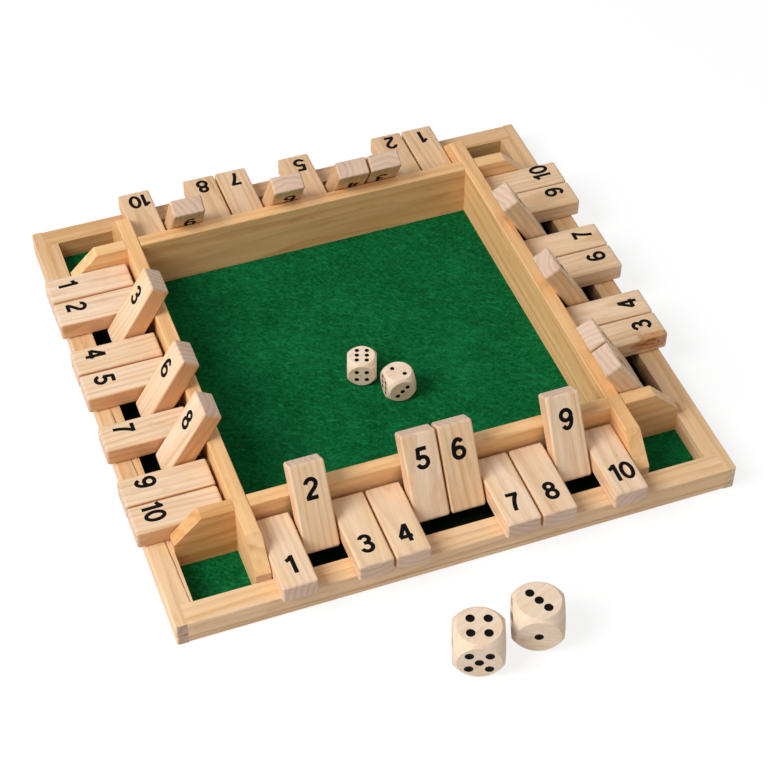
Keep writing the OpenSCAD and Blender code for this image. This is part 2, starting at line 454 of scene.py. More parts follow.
@dataclass(frozen=True)
class SeamShade:
    """Darkens a colour near a plane, more in some places than in others, as far as its rear end."""

    waver: Layer = Layer(1.0, 60.0, 3.0, 0.6)
    waver_by: float = 1.2 * MM
    breaks: Layer = Layer(1.0, 45.0)
    break_edge: tuple[float, float] = (0.25, 0.45)
    fade: float = 20 * MM
    tint: Place = (0.32, 0.2, 0.13)

    @cache
    def group(self) -> bpy.types.NodeTree:
        """Builds the node group once.

        The distance from the plane is bent by the waver. The shade falls to nothing at the half width, is left
        out where the breaks are low, and fades in over a length ahead of the rear end.

        Returns:
            The node group.
        """
        group = EffectGroup("seam", {"Vector": "vector", "Color": "colour", "Across": "vector", "At": "value",
                                     "Half Width": "value", "Strength": "value", "Rear End": "value"},
                            {"Color": "colour"})
        n, given = group.bench, group.entry
        p = given["Vector"]
        off = n.math("SUBTRACT", n.vector("DOT_PRODUCT", p, given["Across"]), given["At"])
        off = n.weighted(0.0, (off, 1.0), (n.about_zero(self.waver.add(n, p)), self.waver_by))
        near = n.math("SUBTRACT", 1.0, n.step(n.math("ABSOLUTE", off), 0.0, given["Half Width"]))
        broken = n.step(self.breaks.add(n, p), *self.break_edge)
        ahead = n.step(n.math("SUBTRACT", given["Rear End"], n.parts(p)[1]), 0.0, self.fade)
        share = n.math("MULTIPLY", n.math("MULTIPLY", near, broken), n.math("MULTIPLY", ahead, given["Strength"]))
        group.put_out(Color=n.tinted(share, given["Color"], self.tint))
        return group.tree


@dataclass(frozen=True)
class KnotShade:
    """Darkens a colour round a point, with wavering darker lines round it, as a knot at the surface."""

    waver: Layer = Layer(0.35, 260.0, 4.0, 0.6)
    waver_by: float = 1.3
    edge: tuple[float, float] = (0.3, 1.0)
    tint: Place = (0.74, 0.48, 0.28)
    lines: float = 3.0
    above_zero: float = 3.0
    line_edge: tuple[float, float] = (0.55, 0.9)
    line_tint: Place = (0.5, 0.36, 0.3)

    @cache
    def group(self) -> bpy.types.NodeTree:
        """Builds the node group once.

        The distance from the point, divided by the knot's reach along x, y and z and bent by the waver, is 1 at
        the knot's edge. It is raised above zero and cut into steps, and the lines are the late parts of these.

        Returns:
            The node group.
        """
        group = EffectGroup("knot", {"Vector": "vector", "Color": "colour", "Centre": "vector", "Reach": "vector"},
                            {"Color": "colour"})
        n, given = group.bench, group.entry
        p = given["Vector"]
        away = n.vector("DIVIDE", n.vector("SUBTRACT", p, given["Centre"]), given["Reach"])
        far = n.weighted(0.0, (n.vector("LENGTH", away), 1.0), (n.about_zero(self.waver.add(n, p)), self.waver_by))
        share = n.math("SUBTRACT", 1.0, n.step(far, *self.edge))
        steps = n.math("MULTIPLY", n.math("ADD", far, self.above_zero), self.lines)
        lines = n.step(n.math("FRACT", steps), *self.line_edge)
        brown = n.tinted(share, given["Color"], self.tint)
        group.put_out(Color=n.tinted(n.math("MULTIPLY", share, lines), brown, self.line_tint))
        return group.tree


# ---------------------------------------------------------------------------------------------------------------
# Finishes


@dataclass(frozen=True)
class Knot:
    """A brown knot: its middle at rest, in the row's frame, and its reach along x, y and z."""

    centre: Place
    reach: Place


@dataclass(frozen=True)
class Seam:
    """A dark glue line or split in a board: where a plane cuts its surface."""

    across: Place
    at: float
    half_width: float
    strength: float
    rear_end: float = 1.0


PALE_PINE: Colour = (0.94, 0.755, 0.59, 1)


@dataclass(frozen=True)
class PineFinish:
    """Lacquered pine with rings, fibres and end grain."""

    name: str
    light: Colour
    dark: Colour
    end: Colour
    lay: Lay = Lay.OWN
    heart: Place = (0.0, 0.0, 0.0)
    tilt_deg: Place = (0.0, 0.0, 0.0)
    ring_spacing: float = 3.4 * MM
    ring_depth: float = 0.5
    fibre_depth: float = 0.7
    streak_depth: float = 0.8
    wander: float = 7 * MM
    tone: float = 0.0
    drift: float = 0.0
    bump: float = 0.25
    relief: float = 0.12 * MM
    specular: float = 0.3
    end_edge: tuple[float, float] = (0.8, 0.95)
    # Painted shade: the tint that darkens and warms a tile's sides.
    flank: Place = (0.90, 0.68, 0.50)
    seams: tuple[Seam, ...] = ()
    knots: tuple[Knot, ...] = ()

    def material(self, pine: bpy.types.NodeTree) -> bpy.types.Material:
        """Builds the material.

        Args:
            pine: The shared grain group.

        Returns:
            The new material.
        """
        made, n, shader = open_material(self.name)
        if self.lay is Lay.OWN:
            along = n.attribute("grain", "Vector")
            # Tone and paleness are random per tile, around a mean per row that is partly painted light.
            end, tone = n.attribute("end_face"), n.attribute("tone")
            light = n.mix(n.attribute("pale"), self.light, PALE_PINE)
        else:
            source = n.add("ShaderNodeTexCoord")
            x, y, z = n.parts(source.outputs["Object"])
            nx, ny, _ = n.parts(source.outputs["Normal"])
            along_y = self.lay is Lay.ALONG_Y
            swapped = n.joined(y, x, z) if along_y else source.outputs["Object"]
            along = n.mapping(swapped, self.heart, self.tilt_deg)
            end = n.step(n.math("ABSOLUTE", ny if along_y else nx), *self.end_edge)
            tone, light = n.weighted(self.tone, (y if along_y else x, self.drift)), self.light
        grain = n.place_group(pine, Vector=along, Light=light, Dark=self.dark, End_Colour=self.end, End=end,
                              Ring_Spacing=self.ring_spacing, Ring_Depth=self.ring_depth,
                              Fibre_Depth=self.fibre_depth, Streak_Depth=self.streak_depth, Tone=tone,
                              Wander=self.wander)
        if self.lay is Lay.OWN:
            # Painted shade darkens the tile's sides.
            grain["Color"] = n.tinted(n.attribute("flank"), grain["Color"], self.flank)
        place = n.place() if self.seams or self.knots else None
        for knot in self.knots:
            grain["Color"] = n.place_group(KnotShade().group(), Vector=place, Color=grain["Color"],
                                           Centre=knot.centre, Reach=knot.reach)["Color"]
        for seam in self.seams:
            grain["Color"] = n.place_group(SeamShade().group(), Vector=place, Color=grain["Color"],
                                           Across=seam.across, At=seam.at, Half_Width=seam.half_width,
                                           Strength=seam.strength, Rear_End=seam.rear_end)["Color"]
        finish_surface(n, shader, grain, self.bump, self.relief)
        shader.inputs["Specular IOR Level"].default_value = self.specular
        return made


@dataclass(frozen=True)
class FeltFinish:
    """Pressed wool felt."""

    name: str
    deep: Colour
    hair: Colour
    # Tint of the painted shade that darkens the felt in the troughs under the tiles.
    trough: Place = (0.5, 0.1, 0.14)
    bump: float = 0.6
    relief: float = 0.3 * MM
    roughness: float = 0.95
    specular: float = 0.05

    def material(self, felt: bpy.types.NodeTree) -> bpy.types.Material:
        """Builds the material, darkened by painted shade in the troughs under the tiles.

        Args:
            felt: The shared fibre group.

        Returns:
            The new material.
        """
        made, n, shader = open_material(self.name)
        fibres = n.place_group(felt, Vector=n.place(), Deep=self.deep, Hair=self.hair)
        # Painted shade: the felt is darkened where it lies in the troughs under the tiles.
        fibres["Color"] = n.tinted(n.attribute("trough"), fibres["Color"], self.trough)
        finish_surface(n, shader, fibres, self.bump, self.relief)
        shader.inputs["Roughness"].default_value = self.roughness
        shader.inputs["Specular IOR Level"].default_value = self.specular
        return made


@dataclass(frozen=True)
class SteelFinish:
    """Drawn steel rod with fine lines along it."""

    name: str
    lay: Lay
    bright: Colour = (0.34, 0.33, 0.32, 1)
    dull: Colour = (0.20, 0.19, 0.18, 1)
    squeeze: float = 0.02
    fineness: float = 2500.0
    rough_weights: tuple[float, float] = (0.4, 0.3)

    def material(self) -> bpy.types.Material:
        """Builds the material.

        Returns:
            The new material.
        """
        made, n, shader = open_material(self.name)
        stretch = (self.squeeze, 1, 1) if self.lay is Lay.ALONG_X else (1, self.squeeze, 1)
        lines = n.noise(n.vector("MULTIPLY", n.place(), stretch), self.fineness, 3.0, 0.6)
        n.feed(shader.inputs["Base Color"], n.mix(lines, self.dull, self.bright))
        n.feed(shader.inputs["Roughness"], n.blend(self.rough_weights, lines))
        shader.inputs["Metallic"].default_value = 1.0
        return made


@dataclass(frozen=True)
class InkFinish:
    """Black print or paint, a little uneven."""

    name: str
    black: Colour = (0.003, 0.003, 0.003, 1)
    worn: Colour = (0.012, 0.009, 0.008, 1)
    cover: Layer = Layer(1.0, 1800.0, 3.0, 0.7)
    worn_edge: tuple[float, float] = (0.45, 0.75)
    roughness: float = 0.6
    uneven: float = 0.2
    specular: float = 0.05

    def material(self) -> bpy.types.Material:
        """Builds the material.

        Returns:
            The new material.
        """
        made, n, shader = open_material(self.name)
        cover = self.cover.add(n, n.place())
        n.feed(shader.inputs["Base Color"], n.mix(n.step(cover, *self.worn_edge), self.black, self.worn))
        n.feed(shader.inputs["Roughness"], n.weighted(self.roughness - self.uneven / 2, (cover, self.uneven)))
        shader.inputs["Specular IOR Level"].default_value = self.specular
        return made

    def shared(self) -> bpy.types.Material:
        """The material, built once for all the pieces that have this ink."""
        return bpy.data.materials.get(self.name) or self.material()


def open_material(name: str) -> tuple[bpy.types.Material, NodeBench, bpy.types.Node]:
    """Makes an empty node material.

    Args:
        name: The material's name.

    Returns:
        The material, a bench for its nodes, and its Principled BSDF.
    """
    made = bpy.data.materials.new(name)
    made.use_nodes = True
    return made, NodeBench(made.node_tree), made.node_tree.nodes["Principled BSDF"]


def finish_surface(n: NodeBench, shader: bpy.types.Node, effect: dict[str, bpy.types.NodeSocket], strength: float,
                   distance: float) -> None:
    """Joins an effect's colour, height and, where it has one, roughness to the shader.

    Args:
        n: The material's bench.
        shader: Its Principled BSDF.
        effect: The outputs of a placed group.
        strength: How strongly the height shows, from 0 to 1.
        distance: How high the highest point stands, in metres.
    """
    n.feed(shader.inputs["Base Color"], effect["Color"])
    if "Roughness" in effect:
        n.feed(shader.inputs["Roughness"], effect["Roughness"])
    bump = n.add("ShaderNodeBump", {"Strength": strength, "Distance": distance, "Height": effect["Height"]})
    n.feed(shader.inputs["Normal"], bump.outputs["Normal"])


def dress(name: str, finish: bpy.types.Material) -> None:
    """Gives a CAD node its material.

    Args:
        name: The node's name.
        finish: The material.
    """
    piece = frame["nodes"][name]
    piece.data.materials.clear()
    piece.data.materials.append(finish)
    LOG.info("%s: dressed in %s", name, finish.name)


# ---------------------------------------------------------------------------------------------------------------
# Frame, walls and floor


@dataclass(frozen=True)
class Board:
    """How a board lies, where in the log it was cut, how dark it is, and how much darker per metre of length."""

    lay: Lay
    heart: Place
    tone: float = 0.0
    drift: float = 0.0


# The tones and drifts are partly each board's own colour and partly painted shade, darker towards the rear and where a
# board lies in shade.
BOARDS = {
    "left_rail": Board(Lay.ALONG_Y, (0.31, 0.095, 0.03), 0.22, 1.5),
    "right_rail": Board(Lay.ALONG_Y, (0.11, -0.19, 0.045), 0.24, 0.5),
    "front_rail": Board(Lay.ALONG_X, (0.07, 0.21, 0.02), 0.03, 0.1),
    "rear_rail": Board(Lay.ALONG_X, (0.53, -0.08, 0.05), 0.46, -0.4),
    "left_long_wall": Board(Lay.ALONG_Y, (0.23, 0.135, 0.035), 0.0, 0.3),
    "right_long_wall": Board(Lay.ALONG_Y, (0.47, -0.16, 0.06), 0.05),
    "front_cross_wall": Board(Lay.ALONG_X, (0.37, 0.145, 0.03)),
    "rear_cross_wall": Board(Lay.ALONG_X, (0.67, -0.17, 0.02), 0.05),
    "front_dividers": Board(Lay.ALONG_X, (0.83, 0.14, 0.055), 0.28, -1.2),
    "rear_dividers": Board(Lay.ALONG_X, (0.97, -0.15, 0.04))}


@dataclass
class BoardWork:
    """The rails, walls, dividers and base panel: CAD solids, each cut from a board of its own."""

    pine: bpy.types.NodeTree
    rail: PineFinish = PineFinish("frame_pine", (0.92, 0.65, 0.40, 1), (0.62, 0.35, 0.15, 1),
                                  (0.62, 0.42, 0.29, 1), ring_spacing=4.2 * MM, ring_depth=0.35)
    wall: PineFinish = PineFinish("wall_pine", (0.94, 0.60, 0.30, 1), (0.64, 0.31, 0.10, 1),
                                  (0.66, 0.43, 0.27, 1), ring_spacing=5.5 * MM, ring_depth=0.38, wander=12 * MM)
    panel: PineFinish = PineFinish("plywood", (0.72, 0.55, 0.37, 1), (0.46, 0.30, 0.17, 1),
                                   (0.40, 0.27, 0.17, 1), Lay.ALONG_X, (0.1, 0.03, 0.055), ring_spacing=9 * MM,
                                   ring_depth=0.45, wander=30 * MM)

    glue_line: Seam = Seam((0, 0, 1), 3.8 * MM, 1.1 * MM, 0.4)
    end_line: Seam = Seam((0, 0, 1), 6.6 * MM, 0.5 * MM, 0.8)
    split: Seam = Seam((0.99965, 0.0266, 0), -142.5 * MM, 0.6 * MM, 1.0, 18 * MM)
    right_end: Colour = (0.80, 0.57, 0.36, 1)
    tilt_deg: Place = (0.0, 1.2, -0.8)

    def dress_all(self) -> None:
        """Cuts every board from another part of the log, so that no two show the same grain."""
        seams = {"left_rail": (self.split, self.end_line), "front_rail": (self.glue_line,),
                 "rear_rail": (self.glue_line,), "right_rail": (self.glue_line,)}
        for name, board in BOARDS.items():
            finish = self.rail if name.endswith("rail") else self.wall
            end = self.right_end if name == "right_rail" else finish.end
            cut = replace(finish, name=f"{finish.name}_{name}", lay=board.lay, heart=board.heart, tone=board.tone,
                          drift=board.drift, end=end, tilt_deg=self.tilt_deg, seams=seams.get(name, ()))
            dress(name, cut.material(self.pine))
        dress("base_panel", self.panel.material(self.pine))


@dataclass
class FeltFloor:
    """The felt that lines the whole floor, glued to the base panel, with its slightly uneven nap."""

    felt: bpy.types.NodeTree
    finish: FeltFinish = FeltFinish("green_felt", (0.0015, 0.062, 0.014, 1), (0.010, 0.26, 0.078, 1))
    cells: int = 150
    nap: float = 0.05 * MM
    wave_count: int = 6
    wave_range: tuple[float, float] = (5 * MM, 18 * MM)
    tray: float = 101.5 * MM

    def height_map(self, x: np.ndarray, y: np.ndarray) -> np.ndarray:
        """Depth of the nap below its highest point: crossing waves of random direction, phase and length.

        Args:
            x: Places across, in metres.
            y: Places in depth, in metres.

        Returns:
            Depths from 0 to the nap's depth, in metres.
        """
        rng = np.random.default_rng(SEED)
        turn, phase = rng.uniform(0, 2 * np.pi, (2, self.wave_count))
        waves = 2 * np.pi / rng.uniform(*self.wave_range, self.wave_count)
        run = np.cos(turn) * x[..., None] + np.sin(turn) * y[..., None]
        total = np.sin(run * waves + phase).mean(axis=-1)
        return self.nap * (0.5 + 0.5 * total)

    def build(self) -> bpy.types.Object:
        """Makes the felt as a closed slab: a grid on top, the same grid below and a strip round the edge.

        Returns:
            The piece.
        """
        low, high = (np.array(corner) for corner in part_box("felt_lining"))
        across = np.linspace(low[0], high[0], self.cells + 1)
        deep = np.linspace(low[1], high[1], self.cells + 1)
        x, y = (grid.ravel() for grid in np.meshgrid(across, deep))
        top = np.column_stack([x, y, high[2] - self.height_map(x, y)])
        under = np.column_stack([x, y, np.full_like(x, low[2])])
        side = self.cells + 1
        corner = (np.arange(self.cells)[:, None] * side + np.arange(self.cells)[None, :]).ravel()
        upper = np.stack([corner, corner + 1, corner + side + 1, corner + side], axis=1)
        line = np.arange(self.cells)
        edge = np.concatenate([line, line * side + self.cells, side * side - 1 - line, (self.cells - line) * side])
        after = np.roll(edge, -1)
        rim = np.stack([edge, edge + side * side, after + side * side, after], axis=1)
        faces = np.concatenate([upper, upper[:, ::-1] + side * side, rim])
        piece = add_piece("felt_floor", np.concatenate([top, under]), faces)
        outer, inner = np.maximum(abs(x), abs(y)), np.minimum(abs(x), abs(y))
        # Marks the felt in the troughs under the tiles, where painted shade darkens it.
        trough = ((outer > self.tray) & (inner < self.tray)).astype(float)
        add_attribute(piece, "trough", np.concatenate([trough, trough]))
        piece.data.materials.append(self.finish.material(self.felt))
        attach(piece, "tray_box")
        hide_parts("felt_lining")
        return piece


# ---------------------------------------------------------------------------------------------------------------
# Printed numbers


def arc(cx: float, cy: float, rx: float, ry: float, start: float, stop: float, steps: int = 26) -> np.ndarray:
    """Points on an ellipse from one angle to another.

    Args:
        cx: Middle across.
        cy: Middle in height.
        rx: Half width.
        ry: Half height.
        start: First angle in degrees, from the right and up.
        stop: Last angle in degrees.
        steps: How many lengths the arc is cut into.

    Returns:
        (steps + 1, 2) points.
    """
    turn = np.radians(np.linspace(start, stop, steps + 1))
    return np.column_stack([cx + rx * np.cos(turn), cy + ry * np.sin(turn)])


def line(*points: tuple[float, float]) -> np.ndarray:
    """A straight or broken line through points."""
    return np.array(points, float)


def bend(*points: tuple[float, float], steps: int = 14) -> np.ndarray:
    """A cubic curve, the sum of the points times (1 - t)^3, 3 (1 - t)^2 t, 3 (1 - t) t^2 and t^3.

    Args:
        points: Its start, the point that it leaves towards, the one that it arrives from, and its end.
        steps: How many lengths it is cut into.

    Returns:
        (steps + 1, 2) points.
    """
    t = np.linspace(0, 1, steps + 1)[:, None]
    a, b, c, d = (np.array(point, float) for point in points)
    return (1 - t) ** 3 * a + 3 * (1 - t) ** 2 * t * b + 3 * (1 - t) * t ** 2 * c + t ** 3 * d


@dataclass(frozen=True)
class Numerals:
    """Plain upright figures, drawn as centre lines in a box one unit high and widened to strips."""

    stroke: float = 0.192
    gap: float = 0.07

    def centre_lines(self, figure: str) -> list[np.ndarray]:
        """Centre lines of one figure, whose width is at most 0.62.

        Args:
            figure: A digit.

        Returns:
            One (n, 2) array for each stroke.
        """
        six = [arc(0.31, 0.315, 0.235, 0.24, 0, 360), arc(0.31, 0.5, 0.235, 0.425, 42, 180),
               line((0.075, 0.502), (0.075, 0.31))]
        shapes = {
            "0": [arc(0.31, 0.5, 0.235, 0.425, 0, 360)],
            "1": [line((0.36, 0.0), (0.36, 1.0)), bend((0.355, 0.93), (0.29, 0.83), (0.20, 0.77), (0.09, 0.735))],
            "2": [arc(0.31, 0.705, 0.225, 0.22, 178, -28),
                  bend((0.509, 0.60), (0.43, 0.44), (0.17, 0.30), (0.095, 0.06)),
                  line((0.03, 0.075), (0.555, 0.075))],
            "3": [arc(0.295, 0.735, 0.205, 0.19, 168, -85), arc(0.295, 0.305, 0.235, 0.23, 80, -170),
                  line((0.21, 0.54), (0.33, 0.54))],
            "4": [line((0.445, 0.0), (0.445, 1.0)), line((0.015, 0.295), (0.6, 0.295)),
                  line((0.425, 0.965), (0.055, 0.315))],
            "5": [line((0.125, 0.925), (0.545, 0.925)), line((0.16, 0.99), (0.115, 0.47)),
                  arc(0.30, 0.315, 0.235, 0.24, 145, -165)],
            "6": six,
            "7": [line((0.04, 0.925), (0.585, 0.925)), bend((0.525, 0.93), (0.38, 0.75), (0.23, 0.38), (0.22, 0.0))],
            "8": [arc(0.31, 0.735, 0.19, 0.19, 0, 360), arc(0.31, 0.305, 0.23, 0.23, 0, 360)],
            "9": [np.array([0.62, 1.0]) - stroke for stroke in six]}
        return shapes[figure]

    def strips(self, path: np.ndarray) -> tuple[np.ndarray, np.ndarray]:
        """Widens a centre line: half a stroke to each side, across the direction of its neighbours.

        Args:
            path: (n, 2) points, the last one equal to the first on a ring.

        Returns:
            (2 n, 2) points, left side first, and (n - 1, 4) corner numbers.
        """
        ring = np.allclose(path[0], path[-1])
        if ring:
            padded = np.concatenate([path[-2:-1], path, path[1:2]])
            heading = padded[2:] - padded[:-2]
        else:
            heading = np.gradient(path, axis=0)
        heading = heading / np.linalg.norm(heading, axis=1, keepdims=True)
        across = np.column_stack([-heading[:, 1], heading[:, 0]]) * self.stroke / 2
        count = len(path)
        left = np.arange(count - 1)
        quads = np.stack([left, left + count, left + count + 1, left + 1], axis=1)
        return np.concatenate([path + across, path - across]), quads

    def flat_shape(self, text: str) -> tuple[np.ndarray, np.ndarray]:
        """Joins the strips of a number into one flat shape without overlaps.

        Args:
            text: The number.

        Returns:
            (n, 2) points in heights of a figure, centred on the number, and (m, 3) corner numbers,
            counterclockwise.
        """
        points, quads, reach, count = [], [], 0.0, 0
        for figure in text:
            drawn = [self.strips(path) for path in self.centre_lines(figure)]
            left = min(p[:, 0].min() for p, _ in drawn)
            right = max(p[:, 0].max() for p, _ in drawn)
            for p, q in drawn:
                points.append(p + (reach - left, 0))
                quads.append(q + count)
                count += len(p)
            reach += right - left + self.gap
        p, q = np.concatenate(points), np.concatenate(quads)
        flat, _, faces, _, _, origin = delaunay_2d_cdt([Vector(v) for v in p.tolist()], [], q.tolist(), 0, 1e-5)
        kept = np.array([face for face, source in zip(faces, origin) if source])
        used, kept = np.unique(kept, return_inverse=True)
        flat, kept = np.array([tuple(v) for v in flat])[used], kept.reshape(-1, 3)
        a, b, c = (flat[kept[:, i]] for i in range(3))
        turned = (b - a)[:, 0] * (c - a)[:, 1] - (b - a)[:, 1] * (c - a)[:, 0]
        kept = np.where((turned < 0)[:, None], kept[:, ::-1], kept)[np.abs(turned) > 1e-9]
        middle = np.array([(flat[:, 0].min() + flat[:, 0].max()) / 2, 0.5])
        return flat - middle, kept


def slab(flat: np.ndarray, faces: np.ndarray) -> np.ndarray:
    """Faces of a thin closed slab over a flat shape: the top, the underside and a wall along every free edge.

    Args:
        flat: (n, 2) points. The underside's points are numbered n higher.
        faces: (m, 3) corner numbers, counterclockwise.

    Returns:
        (k, 3) corner numbers.
    """
    count = len(flat)
    edges = np.concatenate([faces[:, [0, 1]], faces[:, [1, 2]], faces[:, [2, 0]]])
    _, which, times = np.unique(np.sort(edges, axis=1), axis=0, return_inverse=True, return_counts=True)
    a, b = edges[times[which.ravel()] == 1].T
    walls = np.concatenate([np.stack([a, a + count, b + count], axis=1), np.stack([a, b + count, b], axis=1)])
    return np.concatenate([faces, faces[:, ::-1] + count, walls])


# ---------------------------------------------------------------------------------------------------------------
# Tiles


@dataclass(frozen=True)
class TilePlace:
    """Where one tile hangs at rest, in the row's frame."""

    name: str
    number: int
    pivot: np.ndarray
    outer: np.ndarray
    along: np.ndarray
    up: np.ndarray

    @property
    def side(self) -> str:
        """Which row the tile belongs to."""
        return self.name.split("_")[0]

    @classmethod
    def from_joint(cls, joint: dict) -> "TilePlace":
        """Reads a tile's place from its hinge.

        The hinge's axis a raises the tile. Lying flat, the tile reaches outwards along z cross a, and the
        numbers run along -a. A tile that rests raised is turned about a by the whole range.

        Args:
            joint: The record's row for the hinge.

        Returns:
            The place.
        """
        axis, up = np.array(joint["axis"], float), np.array([0.0, 0.0, 1.0])
        turn = math.radians(-joint["range_deg"][0])
        outer = np.cross(up, axis)
        return cls(joint["child"], int(joint["child"].rsplit("_", 1)[1]), np.array(joint["pos_m"], float),
                   outer * math.cos(turn) + up * math.sin(turn), -axis, up * math.cos(turn) - outer * math.sin(turn))

    def to_row(self, u: np.ndarray, v: np.ndarray, w: np.ndarray) -> np.ndarray:
        """Carries points from the tile to the row's frame.

        Args:
            u: (n,) places outwards from the rod.
            v: (n,) places along the row.
            w: (n,) places up from the rod.

        Returns:
            (n, 3) points.
        """
        return (self.pivot + np.multiply.outer(u, self.outer) + np.multiply.outer(v, self.along)
                + np.multiply.outer(w, self.up))


@dataclass(frozen=True)
class Row:
    """One row's look: height of its numbers, shifts of the upper and lower print outwards and along, and wood.

    The wood varies within the range of paleness, and flank says how strongly painted shade darkens the sides.
    """

    height: float
    upper: tuple[float, float]
    lower: tuple[float, float]
    pale: tuple[float, float]
    tone: float = 0.0
    flank: float = 0.4


# A row's tone and range of paleness are partly painted light: the left row is paler and the rear row darker, as more
# light falls from the front left.
ROWS = {
    "front": Row(11.5 * MM, (0.0, -0.6 * MM), (-0.2 * MM, 0.1 * MM), (0.0, 0.5)),
    "right": Row(11.0 * MM, (2.5 * MM, 1.5 * MM), (1.5 * MM, 0.8 * MM), (0.0, 0.25), 0.14, 0.0),
    "rear": Row(10.8 * MM, (4.3 * MM, -1.5 * MM), (1.5 * MM, -0.8 * MM), (0.0, 0.35), 0.4),
    "left": Row(11.0 * MM, (1.0 * MM, -2.5 * MM), (0.0, -1.4 * MM), (0.2, 0.9), 0.08, 1.0)}

ASKEW_MM = {
    "front_tile_7": (0.0, 0.8), "front_tile_8": (-1.0, 0.9), "front_tile_10": (-0.45, 1.25),
    "right_tile_4": (0.5, -1.4), "right_tile_6": (-0.2, 0.9), "right_tile_7": (0.0, 0.5), "right_tile_9": (0.0, 1.5),
    "right_tile_10": (-0.8, 1.0), "rear_tile_2": (0.7, 0.45), "rear_tile_3": (-5.1, 2.8), "rear_tile_4": (-7.0, 0.1),
    "rear_tile_6": (-4.6, 0.1), "rear_tile_7": (0.4, 0.9), "rear_tile_8": (0.3, 0.6), "rear_tile_9": (-4.3, 0.4),
    "left_tile_1": (0.7, -0.3), "left_tile_2": (0.2, -0.8), "left_tile_4": (0.1, -0.9), "left_tile_7": (0.1, -1.1),
    "left_tile_9": (-1.0, -1.2)}


